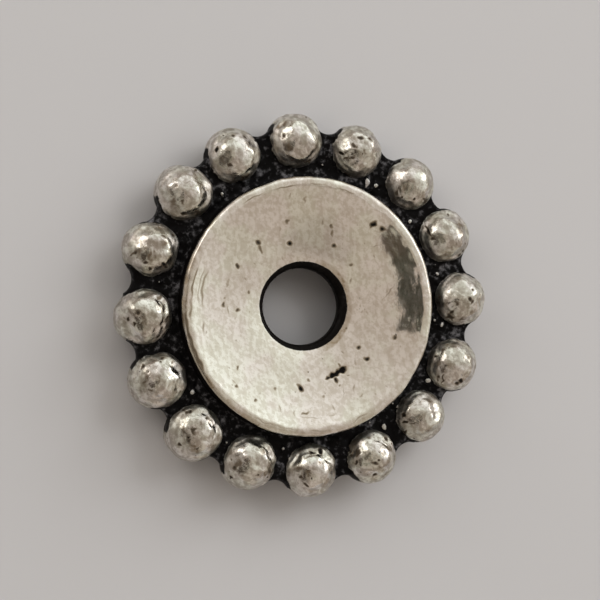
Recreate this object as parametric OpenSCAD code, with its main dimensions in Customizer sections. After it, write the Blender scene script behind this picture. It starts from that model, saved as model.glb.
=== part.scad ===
// Rondelle spacer bead: a dished round hub with a ring of granules cast in one with it.
// Millimetres. The origin is the middle of the hole, and +Z runs along the hole.
// Both faces are alike. +X and +Y are the right and the top of the front view.

/* [Bead] */
// Thickness over the two lips
bead_t = 2.06; // [2:0.02:2.2]
// Radius of the circle that the granules sit on
pitch_r = 6; // [5.95:0.05:6.05]

/* [Hub] */
// Radius of the hub's upright outer wall
hub_r = 4.7; // [4.5:0.05:4.8]
// Width of the flat land on top of each lip
lip_land_w = 0.12; // [0.08:0.02:0.2]
// Radius of the lip's outer edge
lip_outer_round = 0.12; // [0.06:0.02:0.16]
// Radius of the lip's inner edge, where it rolls down into the dish
lip_inner_round = 0.36; // [0.3:0.02:0.44]

/* [Hole] */
// Radius of the hole
bore_r = 1.38; // [1.2:0.02:1.6]
// Length of the hole's straight stretch
bore_land = 0.18; // [0.14:0.02:0.3]
// Radius of the hole's rounded mouths
mouth_round = 0.28; // [0.2:0.02:0.32]

/* [Web] */
// Thickness of the web that joins the granules to the hub
web_t = 0.5; // [0.4:0.05:0.7]
// Radius of the web's outer edge, beside the granules
web_r = 6.6; // [6.5:0.05:6.7]
// Radius of the web's outer edge at the middle of each scallop
scallop_floor_r = 6.35; // [6.25:0.05:6.45]
// Radius of the scallops in the web's edge
scallop_round = 0.6; // [0.5:0.05:0.7]

/* [Granules] */
// Angle of the first granule above +X, in degrees
first_turn = 2.8; // [0:0.1:22.5]
// Share of the table's unevenness that the ring has, none for a perfect ring
unevenness = 1; // [0:0.1:1]
// Diameter of a granule in a perfect ring
granule_d = 2; // [1.9:0.02:2.02]

/* [Hidden] */
$fn = 96;

// One row for each granule, turning from +X towards +Y:
// turn off even spacing in degrees, place off the pitch circle, diameter less granule_d
GRANULES = [
    [-0.1,  0.02, -0.01],
    [ 0.2,  0.00, -0.03],
    [-0.1,  0.05, -0.09],
    [-0.2,  0.00, -0.07],
    [-0.4,  0.00, -0.02],
    [ 0.2,  0.00,  0.00],
    [-0.4, -0.01,  0.03],
    [-0.2, -0.02, -0.01],
    [ 0.7, -0.11,  0.04],
    [ 0.8, -0.02,  0.04],
    [ 0.4,  0.06,  0.05],
    [ 0.1, -0.06, -0.01],
    [ 0.1, -0.06, -0.04],
    [ 0.1,  0.04, -0.06],
    [ 0.4,  0.00, -0.09],
    [-0.8,  0.08, -0.03]
];
count = len(GRANULES);

function granule_turn(i) = first_turn + 360 * i / count + unevenness * GRANULES[i % count][0];
function granule_place(i) = pitch_r + unevenness * GRANULES[i][1];
function granule_size(i) = granule_d + unevenness * GRANULES[i][2];

half_t = bead_t / 2;

// Where the lip's flat land ends on either side
land_out_r = hub_r - lip_outer_round;
land_in_r = land_out_r - lip_land_w;

// Middles of the lip's inner rounding and of the mouth's rounding
lip_middle_z = half_t - lip_inner_round;
mouth_middle_r = bore_r + mouth_round;
mouth_middle_z = bore_land / 2;

// The dish is part of a ball that touches both of these roundings from above.
// Its middle then lies at ball_top - ball_slope * radius, and its radius is a root
// of ball_2 * radius^2 + ball_1 * radius + ball_0.
ball_rise = lip_middle_z - mouth_middle_z;
ball_slope = (lip_inner_round - mouth_round) / ball_rise;
ball_top = (pow(lip_middle_z, 2) - pow(mouth_middle_z, 2)
    + pow(land_in_r, 2) - pow(mouth_middle_r, 2)
    - pow(lip_inner_round, 2) + pow(mouth_round, 2)) / (2 * ball_rise);
ball_2 = pow(ball_slope, 2) - 1;
ball_1 = -2 * (ball_slope * (ball_top - mouth_middle_z) + mouth_round);
ball_0 = pow(ball_top - mouth_middle_z, 2) + pow(mouth_middle_r, 2) - pow(mouth_round, 2);
dish_ball_r = -(ball_1 + sqrt(pow(ball_1, 2) - 4 * ball_2 * ball_0)) / (2 * ball_2);
dish_middle_z = ball_top - ball_slope * dish_ball_r;

// How far the ball's touching points lean off the roundings' tops
lip_lean = asin(land_in_r / (dish_ball_r + lip_inner_round));
mouth_lean = asin(mouth_middle_r / (dish_ball_r + mouth_round));

// A long way past the profile, for the shapes that cut it
over = 1;

// Upper half of the hub's section, with radius along x and height along y
module half_section() {
    difference() {
        translate([bore_r, 0]) square([hub_r - bore_r, half_t]);
        // dish
        translate([0, dish_middle_z]) circle(dish_ball_r, $fn = 720);
        // inner rounding of the lip, from its touching point with the dish up to the land
        translate([land_in_r, lip_middle_z]) difference() {
            polygon([
                [0, 0],
                [0, lip_inner_round + over],
                [-lip_inner_round * sin(lip_lean), lip_inner_round + over],
                [-lip_inner_round * sin(lip_lean), lip_inner_round * cos(lip_lean)]
            ]);
            circle(lip_inner_round);
        }
        // outer edge of the lip
        translate([land_out_r, half_t - lip_outer_round]) difference() {
            square(lip_outer_round + over);
            circle(lip_outer_round);
        }
        // rounded mouth of the hole
        translate([mouth_middle_r, mouth_middle_z]) difference() {
            polygon([
                [0, 0],
                [-mouth_round * sin(mouth_lean), mouth_round * cos(mouth_lean)],
                [-mouth_round * sin(mouth_lean), mouth_round + over],
                [-mouth_round - over, mouth_round + over],
                [-mouth_round - over, 0]
            ]);
            circle(mouth_round);
        }
    }
}

// Hub: the dished disc with its lips and the rounded hole
module hub() {
    rotate_extrude() {
        half_section();
        mirror([0, 1]) half_section();
    }
}

// Web: a flat flange under the groove, scalloped between the granules
module web() {
    inner_r = (bore_r + hub_r) / 2;
    difference() {
        translate([0, 0, -web_t / 2]) cylinder(r = web_r, h = web_t);
        translate([0, 0, -web_t]) cylinder(r = inner_r, h = 2 * web_t);
        for (i = [0 : count - 1])
            rotate([0, 0, (granule_turn(i) + granule_turn(i + 1)) / 2])
                translate([scallop_floor_r + scallop_round, 0, -web_t])
                    cylinder(r = scallop_round, h = 2 * web_t);
    }
}

// Granules: solid balls sunk in the web, each a little off its even place
module granules() {
    for (i = [0 : count - 1])
        rotate([0, 0, granule_turn(i)])
            translate([granule_place(i), 0, 0])
                sphere(d = granule_size(i), $fn = 48);
}

module rondelle() {
    color([0.76, 0.74, 0.70]) {
        hub();
        web();
        granules();
    }
}

rondelle();
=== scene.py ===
import math

import bpy
import numpy as np
from mathutils import Matrix, Vector


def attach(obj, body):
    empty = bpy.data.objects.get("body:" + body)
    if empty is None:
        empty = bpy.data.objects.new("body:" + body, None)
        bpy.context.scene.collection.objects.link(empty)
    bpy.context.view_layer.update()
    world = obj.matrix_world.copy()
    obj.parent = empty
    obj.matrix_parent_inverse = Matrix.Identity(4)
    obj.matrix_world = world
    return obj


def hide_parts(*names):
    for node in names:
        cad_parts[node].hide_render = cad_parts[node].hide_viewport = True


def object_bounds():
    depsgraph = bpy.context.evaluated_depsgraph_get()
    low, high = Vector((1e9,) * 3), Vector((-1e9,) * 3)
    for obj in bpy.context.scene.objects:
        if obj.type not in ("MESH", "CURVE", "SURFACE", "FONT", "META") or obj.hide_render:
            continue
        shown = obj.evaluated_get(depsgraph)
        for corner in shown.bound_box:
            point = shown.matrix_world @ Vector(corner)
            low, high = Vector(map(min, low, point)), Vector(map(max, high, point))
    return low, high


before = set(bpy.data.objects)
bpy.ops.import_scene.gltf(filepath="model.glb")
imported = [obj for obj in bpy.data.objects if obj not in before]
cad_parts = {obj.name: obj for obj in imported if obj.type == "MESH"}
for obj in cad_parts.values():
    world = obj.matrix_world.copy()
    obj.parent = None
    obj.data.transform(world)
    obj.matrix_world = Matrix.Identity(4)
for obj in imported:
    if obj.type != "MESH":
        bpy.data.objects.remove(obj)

cadLow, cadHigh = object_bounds()
mm = 0.001
nodeName = "rondelle"
print("frame loaded")


# Sizes that several pieces share, in millimetres and degrees
bead = dict(halfThickness=1.03, hubR=4.7, pitchR=6.0, granuleR=1.0, firstTurn=2.8, webHalf=0.25)
# Turning from +X towards +Y: degrees off even spacing, mm off the pitch circle, mm off the diameter
granuleRows = np.array([
    (-0.1, 0.02, -0.01),
    (0.2, 0.00, -0.03),
    (-0.1, 0.05, -0.09),
    (-0.2, 0.00, -0.07),
    (-0.4, 0.00, -0.02),
    (0.2, 0.00, 0.00),
    (-0.4, -0.01, 0.03),
    (-0.2, -0.02, -0.01),
    (0.7, -0.11, 0.04),
    (0.8, -0.02, 0.04),
    (0.4, 0.06, 0.05),
    (0.1, -0.06, -0.01),
    (0.1, -0.06, -0.04),
    (0.1, 0.04, -0.06),
    (0.4, 0.00, -0.09),
    (-0.8, 0.08, -0.03),
])
evenTurn = np.arange(len(granuleRows)) * 360 / len(granuleRows)
granuleTurn = np.radians(bead["firstTurn"] + evenTurn + granuleRows[:, 0])
granulePlace = bead["pitchR"] + granuleRows[:, 1]
granuleRadius = bead["granuleR"] + granuleRows[:, 2] / 2
granuleCentre = np.stack(
    [granulePlace * np.cos(granuleTurn), granulePlace * np.sin(granuleTurn)], axis=1
)


# Where the camera stands: degrees to the left of straight above and of turn, then mm
cameraShape = dict(
    lean=16.2, turn=0.5, distance=108.9, lens=180.0, sensor=36.0, nearest=5.0, farthest=2000.0,
    shiftRight=-0.0007, shiftUp=0.011,  # shares of the picture's width
)
waveSpread = (0.7, 1.5)  # the waves of a ripple are this many times its wavelength long


def viewAxes():
    # Right, up and away of the camera's view, which keeps +Y upright in the picture
    lean, turn = math.radians(cameraShape["lean"]), math.radians(cameraShape["turn"])
    away = np.array([-math.sin(lean) * math.cos(turn), -math.sin(lean) * math.sin(turn), math.cos(lean)])
    slope = np.array([math.cos(turn) * math.cos(lean), math.sin(turn) * math.cos(lean), math.sin(lean)])
    level = np.array([-math.sin(turn), math.cos(turn), 0])
    right = slope * math.cos(turn) - level * math.sin(turn)
    return right, slope * math.sin(turn) + level * math.cos(turn), away


def easeStep(start, end, value):
    # Smooth step: 3 t squared less 2 t cubed, where t runs from 0 at start to 1 at end
    t = np.clip((value - start) / (end - start), 0, 1)
    return t * t * (3 - 2 * t)


def band(span, value):
    # Smooth step up from the span's first value to its second, times one down from its third to its fourth
    return easeStep(span[0], span[1], value) * easeStep(span[3], span[2], value)


def ripple(points, wave, step=0):
    # Height times a sum of plane waves in random directions, cos(k . p + phase) over the root of their count
    height, wavelength, count, seed = wave
    draw = np.random.default_rng(seed + step)
    heading = draw.normal(size=(3, count))
    heading /= np.linalg.norm(heading, axis=0)
    lengths = wavelength * draw.uniform(*waveSpread, count)
    phases = draw.uniform(0, 2 * math.pi, count)
    total = np.cos(points @ (heading * 2 * math.pi / lengths) + phases).sum(-1)
    return height * (total / math.sqrt(count))


def fullTurn(count):
    # Angles all the way round, in radians
    return np.linspace(0, 2 * math.pi, count, endpoint=False)


def turnedGrid(radius, height, turn):
    # A profile carried round the axis: x = r cos t, y = r sin t, z = height
    turn = turn[:, None]
    return np.stack([radius * np.cos(turn), radius * np.sin(turn), height + 0 * turn], axis=2)


def gridNormals(points):
    # Cross product of the two central differences of a grid that is closed both ways
    along = np.roll(points, -1, 1) - np.roll(points, 1, 1)
    around = np.roll(points, -1, 0) - np.roll(points, 1, 0)
    normal = np.cross(along, around)
    return normal / np.maximum(np.linalg.norm(normal, axis=2, keepdims=True), 1e-12)


def closedGridFaces(grid):
    # Quads between each grid point and its neighbours, round both ways
    rows, columns = grid.shape[:2]
    i, j = np.meshgrid(np.arange(rows), np.arange(columns), indexing="ij")
    iNext, jNext = (i + 1) % rows, (j + 1) % columns
    corners = [i * columns + j, i * columns + jNext, iNext * columns + jNext, iNext * columns + j]
    return np.stack(corners, axis=-1).reshape(-1, 4).tolist()


def blot(dx, dy, length, width, heading, power):
    # exp(-(distance in the mark's own length and width) to twice the power), its heading in degrees
    turn = np.radians(heading)
    along = (dx * np.cos(turn) + dy * np.sin(turn)) / (length / 2)
    across = (dy * np.cos(turn) - dx * np.sin(turn)) / (width / 2)
    return np.exp(-((along ** 2 + across ** 2) ** power))


def meshObject(name, points, faces, material):
    # A linked object of one material, from points in mm
    mesh = bpy.data.meshes.new(name)
    mesh.from_pydata((np.array(points) * mm).tolist(), [], faces)
    mesh.materials.append(material)
    made = bpy.data.objects.new(name, mesh)
    bpy.context.scene.collection.objects.link(made)
    return made


def putPiece(name, points, faces, masks, material):
    # Makes a piece of the bead, with its masks as point attributes, and seats it in the frame
    piece = meshObject(name, points, faces, material)
    mesh = piece.data
    mesh.validate()
    for label, values in masks.items():
        layer = mesh.attributes.new(label, "FLOAT", "POINT")
        layer.data.foreach_set("value", np.asarray(values, np.float32).ravel())
    mesh.polygons.foreach_set("use_smooth", np.ones(len(mesh.polygons), bool))
    mesh.update()
    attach(piece, "root")
    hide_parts(nodeName)
    print(name, len(mesh.vertices), "points")


def addNode(tree, kind, inputs=None, **settings):
    # Adds one node: an input given as a socket is linked, any other value is set
    made = tree.nodes.new("ShaderNode" + kind)
    for key, value in settings.items():
        setattr(made, key, value)
    for key, value in (inputs or {}).items():
        socket = made.inputs[key]
        if isinstance(value, bpy.types.NodeSocket):
            tree.links.new(value, socket)
        else:
            socket.default_value = value
    return made


def mathNode(tree, operation, first, second=0.0, clamp=False):
    # Any one operation on two values, each a number or a socket
    return addNode(tree, "Math", {0: first, 1: second}, operation=operation, use_clamp=clamp).outputs[0]


def vectorNode(tree, operation, first, second, output=0):
    # Any one operation on two vectors, or on a vector and the number that scales it
    key = "Scale" if operation == "SCALE" else 1
    return addNode(tree, "VectorMath", {0: first, key: second}, operation=operation).outputs[output]


def plus(tree, *values):
    # All the values added up, in their order
    total = values[0]
    for value in values[1:]:
        total = mathNode(tree, "ADD", total, value)
    return total


def minus(tree, first, second):
    return mathNode(tree, "SUBTRACT", first, second)


def times(tree, first, second):
    return mathNode(tree, "MULTIPLY", first, second)


def larger(tree, first, second):
    return mathNode(tree, "MAXIMUM", first, second)


def swing(tree, value, reach):
    # A noise turned about its middle: (value - 0.5) times reach
    return times(tree, minus(tree, value, 0.5), reach)


def mixColour(tree, share, first, second, blend="MIX"):
    # First colour at share 0; at share 1 the second one, or the two blended
    made = addNode(tree, "Mix", {0: share, 6: first, 7: second}, data_type="RGBA", blend_type=blend)
    return made.outputs[2]


def mixValue(tree, share, first, second):
    # First value at share 0 and second value at share 1
    return addNode(tree, "Mix", {0: share, 2: first, 3: second}, data_type="FLOAT").outputs[0]


def remap(tree, value, start, end):
    # Smooth step from 0 at start to 1 at end, which may lie below start
    made = addNode(tree, "MapRange", {0: value, 1: start, 2: end}, interpolation_type="SMOOTHSTEP")
    return made.outputs[0]


def noise(tree, position, scale, detail=2.0, roughness=0.5, distortion=0.0):
    # Noise about 0.5 with so many waves to a unit of the position, here a millimetre
    inputs = {"Vector": position, "Scale": scale, "Detail": detail, "Roughness": roughness}
    return addNode(tree, "TexNoise", {**inputs, "Distortion": distortion}).outputs["Fac"]


def strokeNoise(tree, position, turn, stretch, fineness, **texture):
    # Noise drawn out along one heading, in degrees, by a number of times
    laid = addNode(
        tree, "Mapping",
        {"Vector": position, "Rotation": (0, 0, math.radians(turn)), "Scale": (stretch, 1, 1)},
        vector_type="TEXTURE",
    )
    return noise(tree, laid.outputs[0], fineness, **texture)


def objectPlace(tree):
    # Object coordinates in millimetres
    return vectorNode(tree, "SCALE", addNode(tree, "TexCoord").outputs["Object"], 1 / mm)


def nodeMaterial(name, values):
    # A new material and its shader, with values for the shader's own sockets by their names
    material = bpy.data.materials.new(name)
    material.use_nodes = True
    shader = material.node_tree.nodes["Principled BSDF"]
    for key, value in values.items():
        shader.inputs[key].default_value = value
    return material, shader


def newGroup(name, formula, output="Mask", **inputs):
    # A shader group that takes a position and the named numbers, and gives the formula's value
    tree = bpy.data.node_groups.new(name, "ShaderNodeTree")
    tree.interface.new_socket("Position", in_out="INPUT", socket_type="NodeSocketVector")
    for label, value in inputs.items():
        socket = tree.interface.new_socket(label, in_out="INPUT", socket_type="NodeSocketFloat")
        socket.default_value = value
    tree.interface.new_socket(output, in_out="OUTPUT", socket_type="NodeSocketFloat")
    given = tree.nodes.new("NodeGroupInput").outputs
    made = formula(tree, given["Position"], given)
    tree.links.new(made, tree.nodes.new("NodeGroupOutput").inputs[output])
    return tree


# Inside the finish groups: where a noise starts and ends to show, and how strokes are laid
groupShape = dict(
    blackEdge=(0.38, 0.62),
    cloudShows=(0.42, 0.72), fleckShows=(0.47, 0.68), filmLeast=0.55,
    wobbleScale=6.0, wobbleReach=0.12,
    rubs=((35.0, 16.0), (-62.0, 11.0), (84.0, 14.0)),  # heading in degrees, times drawn out
    strokes=((-82.0, 3.2), (-35.0, 2.2)), strokesShow=(1.32, 1.68),
)


def blackening(tree, place, given):
    # The black left in recesses: a painted mask whose edge is broken up by noise
    grain = noise(tree, place, given["Grain"], detail=4.0, roughness=0.6)
    level = plus(tree, given["Recess"], swing(tree, grain, given["Ragged"]))
    return remap(tree, level, *groupShape["blackEdge"])


def tarnishAndShade(tree, place, given):
    # Thin brown film: broad clouds and small flecks, thicker where the painted mask is, a mask that also lays
    # painted shade and painted reflection
    cloud = noise(tree, place, given["Cloud"], detail=5.0, roughness=0.6, distortion=0.4)
    cloud = remap(tree, cloud, *groupShape["cloudShows"])
    fleck = noise(tree, place, given["Fleck"], detail=4.0, roughness=0.65)
    fleck = remap(tree, fleck, *groupShape["fleckShows"])
    both = plus(tree, times(tree, cloud, 0.5), times(tree, fleck, 0.5))
    filmAndShade = times(tree, given["Film"], plus(tree, both, groupShape["filmLeast"]))
    return mathNode(tree, "ADD", times(tree, both, given["Amount"]), filmAndShade, clamp=True)


def castPits(tree, place, given):
    # Pinholes of a casting: the middles of a few cells, with an uneven edge
    wobble = {"Vector": place, "Scale": groupShape["wobbleScale"], "Detail": 2.0}
    wobble = addNode(tree, "TexNoise", wobble).outputs["Color"]
    pulled = vectorNode(tree, "SUBTRACT", wobble, (0.5, 0.5, 0.5))
    pulled = vectorNode(tree, "SCALE", pulled, groupShape["wobbleReach"])
    pulled = vectorNode(tree, "ADD", place, pulled)
    cells = addNode(tree, "TexVoronoi", {"Vector": pulled, "Scale": given["Scale"]}).outputs
    picked = addNode(tree, "SeparateColor", {0: cells["Color"]}).outputs[0]
    chosen = mathNode(tree, "LESS_THAN", picked, given["Share"])
    dark = remap(tree, cells["Distance"], given["Size"], times(tree, given["Size"], 0.5))
    return times(tree, chosen, dark)


def rubMarks(tree, place, given):
    # Fine rub marks: noise drawn out along one heading, laid over the same at other headings
    return plus(tree, *[
        strokeNoise(tree, place, turn, stretch, given["Fineness"]) for turn, stretch in groupShape["rubs"]
    ])


def rubbedMottle(tree, place, given):
    # Pale and dull strokes of a hand-rubbed surface: noises drawn out along two headings, and a plain one
    texture = dict(detail=3.0, roughness=0.6)
    strokes = [
        strokeNoise(tree, place, turn, stretch, given["Fineness"], distortion=0.5, **texture)
        for turn, stretch in groupShape["strokes"]
    ]
    plain = noise(tree, place, given["Fineness"], **texture)
    return remap(tree, plus(tree, *strokes, plain), *groupShape["strokesShow"])


groups = dict(
    black=newGroup("blackening", blackening, Recess=0.0, Grain=5.0, Ragged=0.5),
    filmAndShade=newGroup("tarnishFilm", tarnishAndShade, Film=0.0, Cloud=0.5, Fleck=4.0, Amount=0.3),
    pits=newGroup("castPits", castPits, Scale=2.0, Size=0.1, Share=0.3),
    rub=newGroup("rubMarks", rubMarks, output="Height", Fineness=12.0),
    mottle=newGroup("rubbedMottle", rubbedMottle, Fineness=4.0),
)
print("finish groups made")


def placeGroup(tree, key, **inputs):
    # One finish group, with each input named as its socket is
    return addNode(tree, "Group", inputs, node_tree=groups[key]).outputs[0]


# What the finishes share: the metal's two tints, and where marks, pits and scuffs show
sharedFinish = dict(
    cool=(0.985, 1.0, 0.965, 1), warm=(1.0, 0.975, 0.985, 1), tintShows=(0.40, 0.60),
    markBlack=(0.10, 0.90), markBrown=(0.02, 0.40), pitBlack=0.8,
    scuffBroad=0.3, scuffSwing=0.5, scuffWide=0.33, blackRough=0.40,
)
# Each brown below is the tarnish's colour and also the colour of the painted shade and painted reflection
# laid with it
finishes = dict(
    hubSilver=dict(
        tint=0.8, dull=(0.735, 0.695, 0.62, 1), pale=(0.915, 0.89, 0.835, 1), brown=(0.42, 0.345, 0.25, 1),
        black=(0.005, 0.004, 0.0035, 1), grey=(0.018, 0.015, 0.014, 1), glint=0.05,
        smoothness=0.060, dulled=0.12, matte=0.30,
        grain=5.0, ragged=0.55, cloud=0.33, fleck=3.2, filmAmount=0.34, mottle=6.2,
        pitScale=1.9, pitSize=0.055, pitShare=0.34, rub=9.0, rubDepth=0.0003,
        fine=3.5, fineDepth=0.0016, scuff=7.0, scuffFrom=0.52, sunk=0.001,
    ),
    granuleSilver=dict(
        tint=1.6, dull=(0.49, 0.456, 0.403, 1), pale=(0.80, 0.78, 0.73, 1), brown=(0.23, 0.185, 0.138, 1),
        black=(0.006, 0.005, 0.0045, 1), grey=(0.022, 0.020, 0.019, 1), glint=0.06,
        smoothness=0.13, dulled=0.34, matte=0.42,
        grain=3.2, ragged=1.30, cloud=1.1, fleck=4.5, filmAmount=0.70, mottle=5.0,
        pitScale=2.4, pitSize=0.085, pitShare=0.30, rub=10.0, rubDepth=0.0010,
        fine=5.5, fineDepth=0.016, scuff=7.0, scuffFrom=0.52, sunk=0.012,
    ),
    webBlack=dict(
        tint=1.6, dull=(0.42, 0.41, 0.40, 1), pale=(0.60, 0.59, 0.57, 1), brown=(0.25, 0.21, 0.18, 1),
        black=(0.0040, 0.0035, 0.0037, 1), grey=(0.22, 0.215, 0.23, 1), glint=0.05,
        smoothness=0.25, dulled=0.35, matte=0.50,
        grain=6.0, ragged=0.5, cloud=0.9, fleck=4.0, filmAmount=0.4, mottle=4.0,
        pitScale=3.0, pitSize=0.1, pitShare=0.4, rub=9.0, rubDepth=0.002,
        fine=5.0, fineDepth=0.016, scuff=5.0, scuffFrom=0.49, sunk=0.012,
    ),
)


def silverMaterial(name):
    # Silver metal under a brown film, which also holds painted shade and painted reflection, with black in
    # its recesses and pits
    look = {**sharedFinish, **finishes[name]}
    material, shader = nodeMaterial(name, {"Specular IOR Level": look["glint"]})
    tree = material.node_tree
    place = objectPlace(tree)
    recess, filmAndShade, marks, unpolished = [
        addNode(tree, "Attribute", attribute_name=label).outputs["Fac"]
        for label in ("recess", "filmAndShade", "marks", "matte")
    ]

    black = placeGroup(
        tree, "black", Position=place, Recess=recess, Grain=look["grain"], Ragged=look["ragged"],
    )
    brown = placeGroup(
        tree, "filmAndShade", Position=place, Film=filmAndShade, Cloud=look["cloud"], Fleck=look["fleck"],
        Amount=look["filmAmount"],
    )
    pits = placeGroup(
        tree, "pits", Position=place, Scale=look["pitScale"], Size=look["pitSize"], Share=look["pitShare"],
    )
    rub = placeGroup(tree, "rub", Position=place, Fineness=look["rub"])
    mottle = placeGroup(tree, "mottle", Position=place, Fineness=look["mottle"])

    holes = larger(tree, remap(tree, marks, *look["markBlack"]), times(tree, pits, look["pitBlack"]))
    brown = larger(tree, brown, remap(tree, marks, *look["markBrown"]))
    dark = larger(tree, black, holes)
    silver = mixColour(tree, mottle, look["dull"], look["pale"])
    tint = remap(tree, noise(tree, place, look["tint"]), *look["tintShows"])
    silver = mixColour(tree, 1.0, silver, mixColour(tree, tint, look["cool"], look["warm"]), "MULTIPLY")
    # Brown where there is tarnish, and where the mask lays painted shade and painted reflection
    bright = mixColour(tree, brown, silver, look["brown"])
    worn = noise(tree, place, look["scuff"], detail=4.0, roughness=0.65)
    broad = noise(tree, place, look["scuff"] * look["scuffBroad"], detail=1.0)
    worn = plus(tree, worn, swing(tree, broad, look["scuffSwing"]))
    scuffed = remap(tree, worn, look["scuffFrom"], look["scuffFrom"] + look["scuffWide"])
    deep = mixColour(tree, scuffed, look["black"], look["grey"])
    tree.links.new(mixColour(tree, dark, bright, deep), shader.inputs["Base Color"])
    sheen = mixValue(tree, brown, look["smoothness"], look["dulled"])
    sheen = mixValue(tree, unpolished, sheen, look["matte"])
    tree.links.new(mixValue(tree, dark, sheen, look["blackRough"]), shader.inputs["Roughness"])
    tree.links.new(mixValue(tree, dark, 1.0, 0.0), shader.inputs["Metallic"])
    fine = noise(tree, place, look["fine"], detail=4.0, roughness=0.55)
    relief = plus(tree, times(tree, rub, look["rubDepth"]), times(tree, fine, look["fineDepth"]))
    relief = minus(tree, relief, times(tree, dark, look["sunk"]))
    bump = addNode(tree, "Bump", {"Height": relief, "Strength": 1.0, "Distance": mm})
    tree.links.new(bump.outputs[0], shader.inputs["Normal"])
    return material


# Hub: the dished disc with its lips and its hole, in mm
hubShape = dict(
    boreR=1.39, mouthRound=0.28, dishBallR=13.04,
    landWidth=0.08, outerRound=0.18, innerRound=0.36,
    around=584, frontSteps=(84, 10), backSteps=(16, 4), landSteps=3,  # points along the dish, along an edge
    # Ripples: height, wavelength, number of waves, seed
    slowWave=(0.0055, 2.4, 24, 3), orangePeel=(0.0011, 0.7, 24, 5),
    lipWave=(0.008, 1.1, 24, 7), lipNicks=(0.0035, 0.35, 24, 9), lipJitter=(0.004, 0.75, 24, 15),
    lipStarts=(4.2, 4.55), lipTop=(4.15, 4.4, 4.55, 4.68),
    rubbedR=2.2, rubbedIn=1.6, rubbedShare=0.12,  # the dish is rubbed lower towards the hole
    # Hole and lip were cast slightly off their places
    holeNear=(2.4, 1.7), holeDrift=-0.035, holeWide=0.018, lipNear=(3.9, 4.5), lipDrift=0.045,
)
# Patina on the hub, with painted shade in it at the lip's left and lower left: soft steps start and end at
# these degrees of azimuth or mm from the axis
hubPatina = dict(
    lowerLeft=(188, 206, 238, 262), left=(148, 166, 238, 262), below=(236, 250, 290, 312),
    # Painted shade: the wall's black reaches higher at the lower left, and the brown on the lip's left is
    # partly painted shade
    wallR=(4.60, 4.68), wallTop=0.92, wallHigherInShade=0.10, wallFade=0.12,
    holeBlack=(1.62, 0.05, 0.02),  # where the hole's black starts, and by how much more to the right and top
    # The hole's mouth is browner on its right side
    holeFade=0.06, mouthR=(1.88, 1.80), mouthSide=(0.2, 0.8), mouthFilm=0.9,
    leftR=(4.46, 4.60), leftFilm=0.75, lowerLeftR=(4.44, 4.60), blotch=(0.03, 0.9, 24, 13),
    belowR=(4.42, 4.50, 4.58, 4.66), belowFilm=0.35,
    backFilm=0.35, matteR=(4.25, 4.45), matteFull=0.85,
)
# Marks in the front dish: middle x and y, length, width (mm), heading (degrees), share of black
dishMarks = np.array([
    (-1.75, 2.30, 0.20, 0.17, 0, 0.75),
    (-1.66, 2.08, 0.42, 0.11, -68, 0.50),
    (-0.54, 2.28, 0.20, 0.17, 0, 0.90),
    (-0.67, 3.07, 0.20, 0.14, 60, 0.55),
    (0.99, 2.90, 0.16, 0.13, 90, 0.60),
    (1.03, 2.66, 0.28, 0.10, 90, 0.45),
    (1.11, 2.21, 0.18, 0.16, 0, 0.80),
    (1.76, 1.53, 0.16, 0.14, 0, 0.55),
    (-2.52, 1.44, 0.22, 0.14, -60, 0.75),
    (-3.05, 0.07, 0.20, 0.16, 80, 0.65),
    (-2.49, -0.14, 0.18, 0.15, 0, 0.65),
    (-2.03, 0.51, 0.14, 0.12, 0, 0.50),
    (-3.00, 0.30, 0.12, 0.10, 0, 0.35),
    (1.41, -2.30, 0.34, 0.21, 30, 1.40),
    (1.22, -2.41, 0.40, 0.19, 30, 1.40),
    (1.05, -2.49, 0.28, 0.18, 25, 1.40),
    (0.88, -2.58, 0.24, 0.11, 20, 0.95),
    (1.17, -2.66, 0.18, 0.12, 75, 0.85),
    (1.32, -2.12, 0.16, 0.08, 100, 0.45),
    (-0.17, -2.96, 0.28, 0.17, -62, 1.00),
    (2.05, -1.49, 0.17, 0.16, 0, 0.80),
    (2.33, -1.89, 0.20, 0.18, 0, 0.90),
    (3.35, -1.12, 0.18, 0.17, 0, 0.75),
    (-0.05, -3.84, 0.40, 0.08, 15, 0.50),
    (-2.55, -2.19, 0.20, 0.11, 80, 0.50),
    (-1.92, -3.37, 0.16, 0.14, 0, 0.55),
    (-2.63, -2.86, 0.15, 0.13, 0, 0.55),
    (-1.15, -2.94, 0.16, 0.13, 0, 0.40),
    (1.62, -0.78, 0.14, 0.12, 0, 0.45),
    (0.14, -2.66, 0.14, 0.13, 0, 0.40),
    (0.14, -2.36, 0.12, 0.11, 0, 0.30),
    (0.67, -3.25, 0.16, 0.13, 0, 0.35),
    (1.28, -2.84, 0.14, 0.12, 0, 0.40),
    (1.43, -3.12, 0.45, 0.07, 85, 0.28),
    (1.81, -2.94, 0.42, 0.08, 80, 0.30),
    (1.91, -2.03, 0.35, 0.07, 88, 0.25),
    (3.15, 0.51, 0.95, 0.06, 53, 0.25),
    (2.65, 2.20, 0.48, 0.07, 13, 0.28),
])
# Flat stains, with the same columns
dishStains = np.array([
    (2.50, 2.98, 0.30, 0.17, 40, 0.95),
    (2.84, 2.80, 0.22, 0.17, -30, 0.90),
])
# Marks are sunk by a share of their width and have uneven edges, and faint ones are scattered between them
markShape = dict(depth=0.08, edge=(0.020, 0.22, 20, 41), power=1.3)
faintMarks = dict(
    count=80, seed=77, fromR=1.9, toR=4.2, small=0.08, large=0.42, shortness=1.5, width=0.075,
    upright=85, slanted=-35, uprightShare=0.6, spread=14, shade=0.34, shadeLeast=0.4,
)
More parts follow.
